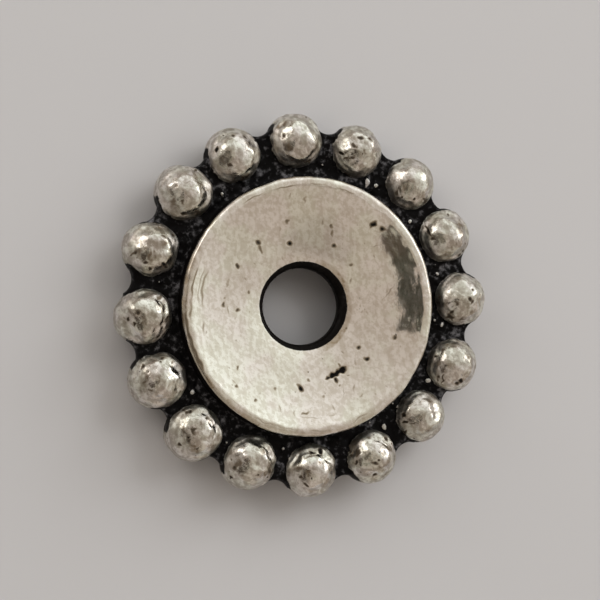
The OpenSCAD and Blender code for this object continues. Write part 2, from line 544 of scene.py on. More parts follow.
# Scored lines in the front face: radius, azimuth from and to (degrees), width, depth (mm), share of black
scoredLines = np.array([
    (3.92, 152, 198, 0.110, 0.003, 0.34),
    (4.07, 156, 186, 0.090, 0.003, 0.28),
    (4.40, 148, 190, 0.110, 0.004, 0.42),
    (4.56, 178, 214, 0.130, 0.004, 0.60),
    (4.47, 236, 304, 0.090, 0.001, 0.28),
    (4.42, 62, 128, 0.060, 0.003, 0.38),
    (3.99, 262, 290, 0.070, 0.003, 0.35),
])
lineShape = dict(
    waver=(0.03, 1.3, 20, 43), shiver=(0.02, 0.35, 20, 47), fade=8,
    wear=(1.0, 1.1, 20, 45), wearShows=(-1.0, 0.6), wornTo=0.35,
)


def arcPoints(centreR, centreZ, radius, start, end, count):
    # Points on a circle of the section, turning from start towards end, in degrees
    turn = np.radians(np.linspace(start, end, count, endpoint=False))
    return np.stack([centreR + radius * np.cos(turn), centreZ + radius * np.sin(turn)], axis=1)


def linePoints(start, end, count):
    # Points shared out evenly from start towards end
    share = np.linspace(0, 1, count, endpoint=False)[:, None]
    return np.array(start) * (1 - share) + np.array(end) * share


def hubHalfProfile(dishCount, edgeCount):
    # Section from the hole's waist over mouth, dish and lip to the wall's waist, as r and z
    s = hubShape
    half, outer = bead["halfThickness"], bead["hubR"]
    landOut = outer - s["outerRound"]
    landIn = landOut - s["landWidth"]
    # The dish's ball touches the lip's inner round, and the mouth's round touches the ball
    lipReach, mouthReach = s["dishBallR"] + s["innerRound"], s["dishBallR"] + s["mouthRound"]
    ballZ = half - s["innerRound"] + math.sqrt(lipReach ** 2 - landIn ** 2)
    mouthR = s["boreR"] + s["mouthRound"]
    mouthZ = ballZ - math.sqrt(mouthReach ** 2 - mouthR ** 2)
    lean = math.degrees(math.asin(mouthR / mouthReach))
    meetTurn = math.degrees(math.asin(landIn / lipReach))
    return np.concatenate([
        linePoints((s["boreR"], 0), (s["boreR"], mouthZ), edgeCount // 2),
        arcPoints(mouthR, mouthZ, s["mouthRound"], 180, 90 + lean, edgeCount),
        arcPoints(0, ballZ, s["dishBallR"], lean - 90, meetTurn - 90, dishCount),
        arcPoints(landIn, half - s["innerRound"], s["innerRound"], 90 + meetTurn, 90, edgeCount),
        linePoints((landIn, half), (landOut, half), s["landSteps"]),
        arcPoints(landOut, half - s["outerRound"], s["outerRound"], 90, 0, edgeCount),
        linePoints((outer, half - s["outerRound"]), (outer, 0), edgeCount),
    ])


def faintMarkRows():
    # Faint nicks and hairlines, scattered evenly over the dish, most of them upright, the others slanted
    s = faintMarks
    draw = np.random.default_rng(s["seed"])
    place = np.sqrt(draw.uniform(s["fromR"] ** 2, s["toR"] ** 2, s["count"]))
    turn = draw.uniform(0, 2 * math.pi, s["count"])
    length = s["small"] * (s["large"] / s["small"]) ** draw.uniform(0, 1, s["count"]) ** s["shortness"]
    heading = np.where(draw.uniform(size=s["count"]) < s["uprightShare"], s["upright"], s["slanted"])
    heading = heading + s["spread"] * draw.normal(size=s["count"])
    shade = s["shade"] * draw.uniform(s["shadeLeast"], 1, s["count"])
    width = np.full(s["count"], s["width"])
    return np.stack([place * np.cos(turn), place * np.sin(turn), length, width, heading, shade], axis=1)


def markMask(points):
    # Black and depth of the marks: each a blot by the distance in its own size, uneven all round
    s = markShape
    x, y, length, width, heading, shade = np.concatenate([dishMarks, faintMarkRows(), dishStains]).T
    depth = s["depth"] * width * shade ** 3
    depth[-len(dishStains):] = 0
    wobble = ripple(points, s["edge"])[:, None]
    dx, dy = points[:, :1] - x + wobble, points[:, 1:2] - y - wobble
    mark = blot(dx, dy, length, width, heading, s["power"]) * (points[:, 2:] > 0)
    return (mark * shade).max(axis=1), (mark * depth).max(axis=1)


def lineMask(points, radius, azimuth):
    # Each line is exp(-(distance from its radius / half width) squared), worn in places, faded at its ends
    s = lineShape
    lineR, start, end, width, depth, black = scoredLines.T
    waver = (ripple(points, s["waver"]) + ripple(points, s["shiver"]))[:, None]
    offLine = (radius[:, None] - lineR - waver) / (width / 2)
    ends = band((start, start + s["fade"], end - s["fade"], end), azimuth[:, None])
    worn = easeStep(*s["wearShows"], ripple(points, s["wear"]))[:, None]
    line = np.exp(-(offLine ** 2)) * ends * (s["wornTo"] + (1 - s["wornTo"]) * worn) * (points[:, 2:] > 0)
    return (line * black).max(axis=1), (line * depth).max(axis=1)


def hubRelief(points, normal, radius, sunk):
    # Points moved along the normal by ripples less marks, the dish rubbed low, hole and lip moved sideways
    s = hubShape
    lift = ripple(points, s["slowWave"]) + ripple(points, s["orangePeel"])
    lift += easeStep(*s["lipStarts"], radius) * (ripple(points, s["lipWave"]) + ripple(points, s["lipNicks"]))
    moved = points + normal * (lift - sunk)[:, None]
    rubbed = np.clip((s["rubbedR"] - radius) / (s["rubbedR"] - s["rubbedIn"]), 0, 1) ** 2
    moved[:, 2] *= 1 - s["rubbedShare"] * rubbed
    moved[:, :2] *= 1 + (band(s["lipTop"], radius) * ripple(points, s["lipJitter"]))[:, None]
    nearHole = easeStep(*s["holeNear"], radius)
    moved[:, 0] *= 1 + s["holeWide"] * nearHole
    moved[:, 0] += s["holeDrift"] * nearHole + s["lipDrift"] * easeStep(*s["lipNear"], radius)
    moved[:, 2] = np.clip(moved[:, 2], -bead["halfThickness"], bead["halfThickness"])
    return moved


def hubMasks(points, radius, azimuth, marks):
    # Black on the wall and in the hole, reaching higher at the lower left as painted shade, and brown along
    # the lip, most of it at the lower left, where it is partly painted shade and painted reflection
    s = hubPatina
    lowerLeft, left, below = [band(s[side], azimuth) for side in ("lowerLeft", "left", "below")]
    # Painted shade: the black climbs higher up the outer wall at the lower left
    wallTop = s["wallTop"] + s["wallHigherInShade"] * lowerLeft
    wall = easeStep(*s["wallR"], radius) * easeStep(wallTop, wallTop - s["wallFade"], np.abs(points[:, 2]))
    boreR, toRight, toTop = s["holeBlack"]
    boreEdge = boreR + (toRight * points[:, 0] + toTop * points[:, 1]) / radius
    bore = easeStep(boreEdge + s["holeFade"], boreEdge - s["holeFade"], radius)
    mouth = easeStep(*s["mouthR"], radius) * easeStep(*s["mouthSide"], points[:, 0] / radius)
    # Brown on the lip's left and lower left: partly tarnish, partly painted shade and painted reflection
    filmAndShade = np.stack([
        s["leftFilm"] * left * easeStep(*s["leftR"], radius),
        lowerLeft * easeStep(*s["lowerLeftR"], radius + ripple(points, s["blotch"])),
        s["belowFilm"] * below * band(s["belowR"], radius),
        # Browner at the hole's right rim
        s["mouthFilm"] * mouth,
    ]).max(axis=0)
    filmAndShade = np.where(points[:, 2] > 0, filmAndShade, s["backFilm"])
    matte = easeStep(*s["matteR"], radius) * s["matteFull"]
    return dict(recess=np.maximum(wall, bore), filmAndShade=filmAndShade, marks=marks, matte=matte)


def makeHub():
    # Surface of revolution of the section, both faces, with its relief and its masks
    s = hubShape
    front = hubHalfProfile(*s["frontSteps"])
    back = hubHalfProfile(*s["backSteps"]) * (1, -1)
    profile = np.concatenate([front, [[bead["hubR"], 0]], back[:0:-1]])
    grid = turnedGrid(profile[:, 0], profile[:, 1], fullTurn(s["around"]))
    points, normal = grid.reshape(-1, 3), gridNormals(grid).reshape(-1, 3)
    radius = np.hypot(points[:, 0], points[:, 1])
    azimuth = np.degrees(np.arctan2(points[:, 1], points[:, 0])) % 360
    marks, markDepth = markMask(points)
    lines, lineDepth = lineMask(points, radius, azimuth)
    moved = hubRelief(points, normal, radius, markDepth + lineDepth)
    masks = hubMasks(points, radius, azimuth, np.maximum(marks, lines))
    putPiece("hub", moved, closedGridFaces(grid), masks, silverMaterial("hubSilver"))


# Web: the black flange in the groove, with fillets up to the granules and the hub, in mm
webShape = dict(
    innerR=4.5, outerR=6.6, scallopFloor=6.35, scallopR=0.6, edgeRound=0.10,
    fillet=0.07, hubFillet=0.10, steepest=0.95, underBall=0.004,
    around=960, across=34, edge=7,
    # Ripples: height, wavelength, number of waves, seed
    rough=(0.018, 0.9, 20, 21), grit=(0.014, 0.35, 20, 23), filletWaver=(0.3, 1.2, 16, 25),
    pipEdge=(0.35, 0.30, 20, 27), pipHeight=0.10, pipShows=(0.35, 0.85), blackFull=1.2, blackWorn=0.1,
)
# Worn pips in the groove: radius from the axis, azimuth (degrees), size across (mm)
groovePips = np.array([
    (5.06, 126.6, 0.26),
    (5.16, 61.2, 0.34),
    (5.20, 58.0, 0.22),
    (5.14, 37.3, 0.22),
    (5.28, 13.3, 0.20),
    (5.46, -29.7, 0.24),
    (5.33, -54.5, 0.26),
    (5.15, -143.3, 0.30),
    (5.18, -98.2, 0.20),
])
pipLight = 0.9  # share of bright metal in them
scatteredPips = dict(
    count=70, seed=63, innerR=4.85, outerR=5.9, small=0.10, large=0.26, least=0.40, most=0.85,
)


def allPips():
    # The worn pips and many dimmer ones scattered along the groove, with their share of bright metal
    s = scatteredPips
    draw = np.random.default_rng(s["seed"])
    place = draw.uniform(s["innerR"], s["outerR"], s["count"])
    turn = draw.uniform(0, 360, s["count"])
    size = draw.uniform(s["small"], s["large"], s["count"])
    share = draw.uniform(s["least"], s["most"], s["count"])
    scattered = np.stack([place, turn, size, share], axis=1)
    worn = np.concatenate([groovePips, np.full((len(groovePips), 1), pipLight)], axis=1)
    return np.concatenate([worn, scattered]).T


def webEdge(turn):
    # Outer edge: the round scallop midway between two granules, else the plain outer radius
    s = webShape
    after = np.append(granuleTurn[1:], granuleTurn[0] + 2 * math.pi)
    middle = (granuleTurn + after) / 2
    off = (turn[:, None] - middle + math.pi) % (2 * math.pi) - math.pi
    centre = s["scallopFloor"] + s["scallopR"]
    reach = s["scallopR"] ** 2 - (centre * np.sin(off)) ** 2
    inside = (reach > 0) & (np.cos(off) > 0)
    edge = np.where(inside, centre * np.cos(off) - np.sqrt(np.maximum(reach, 0)), s["outerR"])
    return np.minimum(edge.min(axis=1), s["outerR"])


def filletRise(inward, radius):
    # A quarter-round's height a way in from its start: r (1 - sqrt(1 - (way / r) squared)), short of upright
    share = np.clip(inward / radius, 0, webShape["steepest"])
    return radius * (1 - np.sqrt(1 - share ** 2))


def webHeight(x, y, place):
    # Rough flange, raised near each granule and the hub by a fillet, and kept just under the granules
    s = webShape
    half = bead["webHalf"]
    fillet = (s["fillet"] * (1 + ripple(place, s["filletWaver"])))[..., None]
    apart = np.hypot(x[..., None] - granuleCentre[:, 0], y[..., None] - granuleCentre[:, 1])
    start = np.sqrt((granuleRadius + fillet) ** 2 - (half + fillet) ** 2)
    rise = filletRise(start - apart, fillet)
    ball = np.sqrt(np.maximum(granuleRadius ** 2 - apart ** 2, 0))
    inBall = (apart < granuleRadius) & (half + rise > ball - s["underBall"]) & (ball > half)
    rise = np.where(inBall, ball - s["underBall"] - half, rise).max(axis=-1)
    hubRise = filletRise(bead["hubR"] + s["hubFillet"] - np.hypot(x, y), s["hubFillet"])
    return half + ripple(place, s["rough"]) + ripple(place, s["grit"]) + np.maximum(rise, hubRise)


def webPips(x, y, place):
    # Each pip is its share of bright metal times exp(-(distance / half its size) squared), its edge uneven
    pipR, pipTurn, pipSize, pipShare = allPips()
    pipTurn = np.radians(pipTurn)
    apart = np.hypot(x[..., None] - pipR * np.cos(pipTurn), y[..., None] - pipR * np.sin(pipTurn))
    apart = apart * (1 + ripple(place, webShape["pipEdge"])[..., None])
    return (pipShare * np.exp(-((apart / (pipSize / 2)) ** 2))).max(axis=-1)


def makeWeb():
    # Closed band: radius shared out between the inner and the scalloped edge, height from webHeight
    s = webShape
    turn = fullTurn(s["around"])
    edge = webEdge(turn)[:, None] - s["edgeRound"]
    radius = s["innerR"] + (edge - s["innerR"]) * np.linspace(0, 1, s["across"])
    flat = turnedGrid(radius, 0 * radius, turn)
    x, y = flat[..., 0], flat[..., 1]
    height, pip = webHeight(x, y, flat), webPips(x, y, flat)
    lean = np.radians(np.linspace(90, -90, s["edge"] + 2)[1:-1])
    bandR = edge + s["edgeRound"] * np.cos(lean)
    bandZ = height[:, -1:] * np.sin(lean)
    allR = np.concatenate([radius, bandR, radius[:, ::-1]], axis=1)
    allZ = np.concatenate([height + s["pipHeight"] * pip, bandZ, -height[:, ::-1]], axis=1)
    bright = easeStep(*s["pipShows"], np.concatenate([pip, 0 * bandR, 0 * pip], axis=1).ravel())
    recess = s["blackFull"] + (s["blackWorn"] - s["blackFull"]) * bright
    masks = dict(recess=recess, filmAndShade=0 * recess, marks=0 * recess, matte=0 * recess)
    grid = turnedGrid(allR, allZ, turn)
    putPiece("web", grid.reshape(-1, 3), closedGridFaces(grid), masks, silverMaterial("webBlack"))


# Granules: cast balls with worn flats, bowl-shaped dents and pits, in shares of the ball's radius
granuleShape = dict(
    around=160, along=82, seed=1602, patternStep=7.0, boxGap=0.004, grow=1.05,
    flats=26, flatLow=0.945, flatHigh=0.99, edgeSoft=80.0, flatReach=0.5,
    dents=24, dentSmall=0.09, dentLarge=0.34, dentSlope=0.07, dentBrown=0.8,
    pits=8, pitSmall=0.04, pitLarge=0.09, pitDepth=0.025, pitBlack=0.75,
    # Ripples: height, wavelength, number of waves, seed
    dentEdge=(0.14, 0.35, 16, 61), pitEdge=(0.4, 0.2, 16, 83),
    lumps=(0.007, 0.8, 20, 31), crinkles=(0.0055, 0.30, 24, 57), wornDown=0.01665,
    markDepth=0.12, markEdge=(0.035, 0.22, 20, 97), markPower=2,
)
# A worn shelf below a slot, on the side of the hub and the right, by the height above the ball's middle
shelfShape = dict(
    shelf=0.066, shelfSpan=(0.17, 0.50, 0.56, 0.76),
    slot=0.022, slotSpan=(0.57, 0.76, 0.79, 0.87), slotBreaks=(1.0, 0.45, 20, 191), slotShows=(-0.1, 0.7),
    rightward=(0.41, 0.19), inward=0.55, towardShows=(0.32, 0.72),
    waver=(0.03, 0.9, 16, 171), share=0.8, uneven=(0.45, 0.7, 16, 151), shareLimits=(0.1, 1.3),
)
# A worn cap above an uneven ledge
capShape = dict(
    depth=0.035, height=0.52, soft=0.07, waver=(0.07, 1.0, 16, 111), share=0.6, uneven=(0.5, 0.8, 16, 131),
)
# Black where a granule meets its neighbours and the web, and unpolished metal low on it
seatShape = dict(
    sideWaver=(0.08, 0.45, 16, 211), neckSide=(0.60, 1.0), neckLow=(0.58, 0.16),
    footLow=(0.50, 0.15), footInward=(-0.85, -0.45), matteLow=(0.86, 0.55),
)
# Marks on the granules as the camera sees them, partly real pits and stains, and the large brown blots left
# of each ball's middle a painted reflection of the dark things beside the camera: granule, place to the right
# and up, length, width (shares of its radius), heading (degrees), share of black, share of brown
granuleMarksAndReflections = np.array([
    (0, -0.30, -0.66, 0.34, 0.14, -10, 0.70, 0.5),
    (0, 0.15, -0.72, 0.30, 0.10, 20, 0.40, 0.6),
    (0, -0.05, -0.17, 0.18, 0.14, 0, 0.45, 0.6),
    (0, 0.62, 0.14, 0.10, 0.08, 0, 0.30, 0.5),
    (0, -0.45, -0.10, 0.34, 0.14, 90, 0.20, 0.8),
    (1, -0.52, 0.18, 0.36, 0.12, -62, 0.95, 0.5),
    (1, -0.38, -0.10, 0.22, 0.16, -60, 0.70, 0.6),
    (1, 0.50, -0.10, 0.40, 0.06, 80, 0.20, 0.7),
    (1, 0.25, -0.42, 0.26, 0.16, 0, 0.00, 0.7),
    (1, 0.00, 0.62, 0.36, 0.06, -8, 0.20, 0.6),
    (2, -0.42, -0.33, 0.20, 0.14, 60, 0.60, 0.6),
    (2, -0.25, -0.52, 0.26, 0.10, 0, 0.50, 0.6),
    (2, 0.66, -0.62, 0.20, 0.12, 60, 0.50, 0.5),
    (2, 0.42, -0.20, 0.60, 0.06, 85, 0.00, 0.5),
    (3, -0.50, -0.08, 0.22, 0.12, -30, 0.90, 0.4),
    (3, -0.32, -0.30, 0.24, 0.12, 80, 0.60, 0.7),
    (3, -0.12, -0.26, 0.26, 0.10, 10, 0.60, 0.7),
    (3, 0.38, -0.05, 0.26, 0.08, 88, 0.10, 0.7),
    (3, -0.30, -0.82, 0.36, 0.08, -12, 0.60, 0.3),
    (4, -0.16, -0.28, 0.42, 0.22, -42, 0.30, 0.9),
    (4, -0.03, -0.72, 0.14, 0.12, 0, 0.60, 0.4),
    (4, 0.46, -0.74, 0.24, 0.09, 15, 0.70, 0.3),
    (4, -0.14, 0.55, 0.09, 0.08, 0, 0.50, 0.4),
    (5, -0.52, 0.22, 0.24, 0.11, 80, 0.95, 0.3),
    (5, -0.27, -0.22, 0.34, 0.26, -50, 0.30, 0.9),
    (5, -0.05, -0.36, 0.20, 0.14, 40, 0.60, 0.6),
    (5, 0.38, -0.74, 0.11, 0.10, 0, 0.80, 0.3),
    (6, -0.30, -0.33, 0.36, 0.26, 70, 0.25, 0.9),
    (6, 0.05, -0.30, 0.15, 0.14, 0, 0.50, 0.7),
    (6, 0.57, -0.68, 0.14, 0.12, 0, 0.70, 0.3),
    (6, 0.66, 0.22, 0.34, 0.06, -75, 0.40, 0.6),
    (6, 0.19, 0.36, 0.26, 0.06, 8, 0.10, 0.8),
    (7, -0.33, -0.10, 0.30, 0.24, 30, 0.25, 0.9),
    (7, 0.08, -0.20, 0.44, 0.12, 85, 0.20, 0.9),
    (7, 0.24, -0.18, 0.36, 0.10, 85, 0.10, 0.8),
    (7, -0.10, -0.46, 0.16, 0.13, 0, 0.70, 0.5),
    (7, 0.57, -0.56, 0.16, 0.15, 0, 0.90, 0.4),
    (7, 0.05, -0.70, 0.15, 0.12, 40, 0.70, 0.4),
    (7, 0.55, 0.44, 0.30, 0.08, -30, 0.40, 0.7),
    (8, -0.38, 0.18, 0.24, 0.16, -50, 0.30, 0.9),
    (8, -0.50, -0.06, 0.16, 0.14, 0, 0.80, 0.5),
    (8, -0.22, -0.28, 0.18, 0.14, -40, 0.80, 0.5),
    (8, 0.10, -0.14, 0.38, 0.22, 85, 0.15, 0.9),
    (8, 0.08, -0.60, 0.22, 0.16, 0, 0.20, 0.8),
    (8, 0.60, 0.60, 0.20, 0.10, 40, 0.40, 0.6),
    (8, 0.88, -0.08, 0.36, 0.08, 85, 0.80, 0.3),
    (9, -0.33, 0.02, 0.42, 0.20, 80, 0.30, 0.9),
    (9, 0.14, -0.04, 0.44, 0.12, 88, 0.30, 0.9),
    (9, -0.16, -0.34, 0.26, 0.14, -20, 0.40, 0.8),
    (9, 0.57, 0.57, 0.22, 0.11, 80, 0.10, 0.8),
    (9, 0.72, -0.42, 0.36, 0.06, 48, 0.40, 0.6),
    (10, -0.28, 0.14, 0.52, 0.16, 85, 0.30, 0.9),
    (10, 0.08, 0.12, 0.34, 0.16, 80, 0.60, 0.8),
    (10, -0.10, -0.13, 0.14, 0.12, 0, 0.80, 0.4),
    (10, 0.05, -0.40, 0.42, 0.10, -18, 0.20, 0.9),
    (10, -0.43, -0.38, 0.12, 0.10, 0, 0.70, 0.4),
    (11, -0.34, -0.06, 0.38, 0.26, 60, 0.40, 0.9),
    (11, 0.03, 0.02, 0.32, 0.10, 85, 0.30, 0.9),
    (11, -0.05, -0.52, 0.34, 0.09, -15, 0.20, 0.8),
    (11, -0.57, -0.53, 0.12, 0.11, 0, 0.80, 0.4),
    (11, 0.66, -0.44, 0.40, 0.06, 52, 0.00, 0.8),
    (12, -0.40, 0.08, 0.44, 0.28, 20, 0.30, 0.9),
    (12, -0.03, 0.00, 0.34, 0.10, 80, 0.20, 0.8),
    (12, -0.30, -0.20, 0.16, 0.12, 0, 0.60, 0.5),
    (12, -0.08, -0.50, 0.26, 0.09, -45, 0.60, 0.5),
    (12, 0.14, 0.67, 0.22, 0.07, 0, 0.95, 0.3),
    (12, 0.44, 0.68, 0.13, 0.11, 0, 0.95, 0.3),
    (13, -0.43, 0.16, 0.36, 0.22, 75, 0.60, 0.9),
    (13, -0.46, -0.20, 0.18, 0.14, 60, 0.80, 0.5),
    (13, -0.08, 0.00, 0.38, 0.10, 75, 0.20, 0.9),
    (13, -0.02, -0.46, 0.40, 0.07, -12, 0.20, 0.8),
    (13, 0.44, -0.40, 0.42, 0.12, 38, 0.00, 0.8),
    (14, -0.55, 0.05, 0.22, 0.14, 80, 0.85, 0.4),
    (14, -0.50, -0.20, 0.22, 0.14, 20, 0.80, 0.5),
    (14, -0.20, -0.26, 0.34, 0.06, 12, 0.60, 0.6),
    (14, -0.50, -0.60, 0.18, 0.14, 80, 0.80, 0.3),
    (14, 0.38, -0.57, 0.18, 0.10, 30, 0.10, 0.8),
    (15, -0.43, 0.05, 0.36, 0.22, 80, 0.30, 0.8),
    (15, -0.30, 0.50, 0.32, 0.08, 62, 0.50, 0.7),
    (15, 0.40, -0.58, 0.19, 0.13, 10, 0.85, 0.4),
    (15, -0.27, -0.50, 0.44, 0.08, 88, 0.70, 0.4),
    (15, -0.50, 0.30, 0.14, 0.10, 0, 0.80, 0.3),
])
# Which granules each piece holds, counted from +X towards +Y
granulePieces = dict(
    granulesRight=(14, 15, 0, 1), granulesTop=(2, 3, 4, 5),
    granulesLeft=(6, 7, 8, 9), granulesBottom=(10, 11, 12, 13),
)


def ballFaces(around, along, balls):
    # For each ball in turn, quads between its rings and a fan of triangles at each pole
    i, j = np.meshgrid(np.arange(along - 1), np.arange(around), indexing="ij")
    jNext = (j + 1) % around
    corners = [i * around + j, (i + 1) * around + j, (i + 1) * around + jNext, i * around + jNext]
    quads = np.stack(corners, axis=-1).reshape(-1, 4)
    ring = np.arange(around)
    ringNext = (ring + 1) % around
    first, low = along * around, (along - 1) * around
    caps = np.concatenate([
        np.stack([np.full(around, first), ring, ringNext], axis=1),
        np.stack([np.full(around, first + 1), low + ringNext, low + ring], axis=1),
    ])
    faces = []
    for start in np.arange(balls) * (first + 2):
        faces += (quads + start).tolist() + (caps + start).tolist()
    return faces


def randomHeadings(draw, count):
    # Unit vectors that favour no direction
    heading = draw.normal(size=(count, 3))
    return heading / np.linalg.norm(heading, axis=1, keepdims=True)


def timesAway(heading, middles, sizes, ragged):
    # Distance from each middle in its own sizes, longer and shorter by the ragged ripple
    return np.linalg.norm(heading[:, None] - middles, axis=2) * (1 + ragged)[:, None] / sizes


def granuleMarkAndReflectionMask(k, heading, place):
    # Black, brown and depth of the marks, the large brown blots being painted reflection: each a blot to the
    # fourth power of the distance, with an uneven rim
    s = granuleShape
    right, up, away = viewAxes()
    x, y, length, width, turn, black, brown = granuleMarksAndReflections[granuleMarksAndReflections[:, 0] == k, 1:].T
    wobble = ripple(place, s["markEdge"])[:, None]
    dx, dy = (heading @ right)[:, None] - x + wobble, (heading @ up)[:, None] - y - wobble
    mark = blot(dx, dy, length, width, turn, s["markPower"]) * (heading @ away > 0)[:, None]
    return (mark * black).max(axis=1), (mark * brown).max(axis=1), (mark * black * width).max(axis=1)


def shelfLift(k, heading, place):
    # Down by the slot and then up to the shelf as the height falls, towards the hub and the right only
    s = shelfShape
    outward = np.array([math.cos(granuleTurn[k]), math.sin(granuleTurn[k])])
    aim = np.array(s["rightward"]) - s["inward"] * outward
    toward = heading[:, :2] @ aim / np.maximum(np.hypot(heading[:, 0], heading[:, 1]), 1e-6)
    uneven = np.clip(s["share"] + ripple(place, s["uneven"], k), *s["shareLimits"])
    low = np.abs(heading[:, 2]) + ripple(place, s["waver"], k)
    broken = easeStep(*s["slotShows"], ripple(place, s["slotBreaks"], k))
    lift = s["shelf"] * band(s["shelfSpan"], low) - s["slot"] * broken * band(s["slotSpan"], low)
    return lift * uneven * easeStep(*s["towardShows"], toward)


def capLoss(k, heading, place):
    # Depth of the cap's wear, times a smooth step up across its wavering ledge
    s = capShape
    ledge = s["height"] + ripple(place, s["waver"], k)
    share = np.clip(s["share"] + ripple(place, s["uneven"], k), 0, 1)
    return s["depth"] * share * easeStep(ledge - s["soft"], ledge + s["soft"], np.abs(heading[:, 2]))


def granuleForm(k, heading, draw):
    # Share of the ball's radius at each heading: the soft least of 1 and the flats' planes,
    # less lumps, less bowls of (1 - distance squared) to the power 1.5, and less pits
    s = granuleShape
    place = heading + s["patternStep"] * k
    flat = randomHeadings(draw, s["flats"])
    depth = draw.uniform(s["flatLow"], s["flatHigh"], s["flats"])
    reach = depth / np.maximum(heading @ flat.T, s["flatReach"])
    reach = np.concatenate([reach, np.ones((len(heading), 1))], axis=1)
    size = 1 - np.log(np.exp(-s["edgeSoft"] * (reach - 1)).sum(axis=1)) / s["edgeSoft"]
    size -= s["wornDown"] + ripple(place, s["lumps"], k) + ripple(place, s["crinkles"], k)
    size += shelfLift(k, heading, place) - capLoss(k, heading, place)

    dent = randomHeadings(draw, s["dents"])
    dentSize = s["dentSmall"] * (s["dentLarge"] / s["dentSmall"]) ** draw.uniform(0, 1, s["dents"])
    stain = draw.uniform(0, 1, s["dents"])
    away = timesAway(heading, dent, dentSize, ripple(place, s["dentEdge"], k))
    bowl = np.clip(1 - away ** 2, 0, 1) ** 1.5
    size -= (bowl * dentSize * s["dentSlope"]).max(axis=1)

    pit = randomHeadings(draw, s["pits"])
    pitSize = draw.uniform(s["pitSmall"], s["pitLarge"], s["pits"])
    away = timesAway(heading, pit, pitSize, ripple(place, s["pitEdge"], k))
    hole = np.exp(-(away ** 2)).max(axis=1)
    black, brown, sink = granuleMarkAndReflectionMask(k, heading, place)
    size = s["grow"] * (size - s["pitDepth"] * hole - s["markDepth"] * sink)
    marks = np.maximum(s["pitBlack"] * hole, black)
    # The marks' brown holds the painted reflection blots left of each ball's middle
    filmAndShade = np.maximum((bowl * stain).max(axis=1) * s["dentBrown"], brown)
    return size, marks, filmAndShade


def granuleSeat(k, heading, outward, sideways):
    # Black towards the neighbours and at the foot, and the unpolished share, by the height above the middle
    s = seatShape
    place = heading + granuleShape["patternStep"] * k
    side = np.abs(heading @ sideways) + ripple(place, s["sideWaver"], k)
    low = np.abs(heading[:, 2])
    neck = easeStep(*s["neckSide"], side) * easeStep(*s["neckLow"], low)
    foot = easeStep(*s["footLow"], low) * easeStep(*s["footInward"], -(heading @ outward))
    return np.maximum(neck, foot), easeStep(*s["matteLow"], low)


def makeGranules(name, members, material):
    # Each ball: unit headings times a radius, its poles turned sideways, where its neighbours hide them
    s = granuleShape
    # Rings evenly spaced from pole to pole, the first and the last three quarters of a step from theirs
    lean = (np.arange(s["along"]) + 0.75) / (s["along"] + 0.5) * math.pi
    spin = fullTurn(s["around"])
    ringSize, ringPlace = np.sin(lean)[:, None], np.cos(lean)[:, None]
    local = np.stack([ringPlace + 0 * spin, ringSize * np.cos(spin), ringSize * np.sin(spin)], axis=2)
    local = np.concatenate([local.reshape(-1, 3), [[1, 0, 0], [-1, 0, 0]]])
    boxLow, boxHigh = np.array(cadLow) / mm + s["boxGap"], np.array(cadHigh) / mm - s["boxGap"]
    allPoints, rows = [], []
    for k in members:
        turn = granuleTurn[k]
        outward = np.array([math.cos(turn), math.sin(turn), 0])
        sideways = np.array([-math.sin(turn), math.cos(turn), 0])
        heading = local @ np.array([sideways, outward, [0, 0, 1.0]])
        size, marks, filmAndShade = granuleForm(k, heading, np.random.default_rng(s["seed"] + k))
        points = heading * (size * granuleRadius[k])[:, None] + outward * granulePlace[k]
        allPoints.append(np.clip(points, boxLow, boxHigh))
        recess, matte = granuleSeat(k, heading, outward, sideways)
        rows.append((recess, filmAndShade, marks, matte))
    masks = dict(zip(("recess", "filmAndShade", "marks", "matte"), np.concatenate(rows, axis=1)))
    faces = ballFaces(s["around"], s["along"], len(members))
    putPiece(name, np.concatenate(allPoints), faces, masks, material)


makeHub()
makeWeb()
granuleSilver = silverMaterial("granuleSilver")
for pieceName, members in granulePieces.items():
    makeGranules(pieceName, members, granuleSilver)


# Floor, lights and sky, with angles in degrees and lengths in mm
floorLook = {"Base Color": (0.648, 0.641, 0.657, 1), "Roughness": 0.65, "Specular IOR Level": 0.2}
studio = dict(
    floorSize=600.0,
    roomLight=(0.51, 0.45, 0.39, 1),
    shadeHeading=(-0.85, -0.48, 0.20), shadeFull=30, shadeEdge=62, shadeLight=(0.42, 0.385, 0.345, 1),
    glowHeading=(0.52, 0.835, -0.20), glowFull=0, glowEdge=110, glowLight=(0.69, 0.78, 0.81, 1),
    openHeading=(0.25, 0.27, 1), openFull=62, openEdge=66,  # the glow ends crisply, as a wide window does
    dimHeading=(0.22, -0.26, 0.93), dimFull=1, dimEdge=13, dimTo=(0.80, 0.80, 0.80, 1),  # beside the camera
)
# Area lights: name, heading, distance, width, height (mm), radiance, colour, whether the metal mirrors it
lamps = [
    ("lowWindow", (0.88, 0.30, 0.36), 420, 170, 130, 2.2, (1.0, 0.99, 0.97), True),
    ("sideWindow", (-0.69, 0.57, 0.45), 400, 200, 200, 1.8, (1.0, 0.99, 0.97), True),
    ("floorLight", (0.62, 0.55, 0.56), 400, 230, 230, 2.8, (1.0, 0.99, 0.98), False),
]
# Flags that keep some of the light from above off the floor and out of the hole: name, place, radius
flags = [
    ("floorFlag", (36.0, 0.0, 150.0), 48.0),
    ("holeFlag", (-0.6, 0.0, 3.4), 2.2),
]
flagCorners = 48
flagLook = {"Base Color": (0.01, 0.01, 0.01, 1)}


def stageSheet(name, corners, material, seen=True, mirrored=True):
    # One flat face, its corners in mm, which isn't part of the bead
    sheet = meshObject(name, corners, [list(range(len(corners)))], material)
    sheet.visible_camera = seen
    sheet.visible_glossy = mirrored


